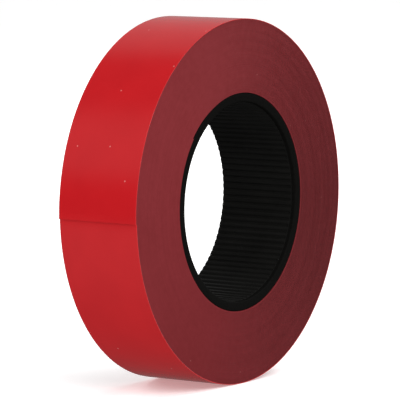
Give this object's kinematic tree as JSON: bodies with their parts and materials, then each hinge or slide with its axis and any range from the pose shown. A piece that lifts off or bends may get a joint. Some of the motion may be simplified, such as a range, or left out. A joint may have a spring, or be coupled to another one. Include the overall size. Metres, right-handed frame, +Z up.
{
  "type": "electrical tape roll",
  "caption": "Roll of glossy red PVC electrical tape on a ribbed black plastic core, standing on edge, with a free end that peels back.",
  "frame": {"origin": "centre of the roll, on its axis, halfway across the tape's width", "axes": "+Y along the roll's axis, +Z up with the roll standing on edge; the near side of the roll faces -Y"},
  "size_m": [0.0763, 0.019, 0.0762],
  "materials": {
    "core_plastic": "black moulded plastic, semi-matt",
    "tape_edges": "dark maroon, matt, fine concentric lap edges",
    "tape_film": "glossy red PVC film"
  },
  "bodies": {
    "roll": {"core": "core_plastic", "wound_tape": "tape_edges", "outer_lap": "tape_film"},
    "end_1": {"tape_end_1": "tape_film"},
    "end_2": {"tape_end_2": "tape_film"},
    "end_3": {"tape_end_3": "tape_film"},
    "end_4": {"tape_end_4": "tape_film"}
  },
  "joints": [
    {"name": "peel_1", "type": "hinge", "parent": "roll", "child": "end_1", "pos_m": [-0.03368, 0, 0.018], "axis": [0, 1, 0], "range_deg": [0, 25]},
    {"name": "peel_2", "type": "hinge", "parent": "end_1", "child": "end_2", "pos_m": [-0.03574, 0, 0.01345], "axis": [0, 1, 0], "range_deg": [0, 25]},
    {"name": "peel_3", "type": "hinge", "parent": "end_2", "child": "end_3", "pos_m": [-0.0372, 0, 0.00867], "axis": [0, 1, 0], "range_deg": [0, 25]},
    {"name": "peel_4", "type": "hinge", "parent": "end_3", "child": "end_4", "pos_m": [-0.03801, 0, 0.00374], "axis": [0, 1, 0], "range_deg": [0, 25]}
  ],
  "couplings": [
    {"joint": "peel_2", "follows": "peel_1", "ratio": 1},
    {"joint": "peel_3", "follows": "peel_1", "ratio": 1},
    {"joint": "peel_4", "follows": "peel_1", "ratio": 1}
  ]
}
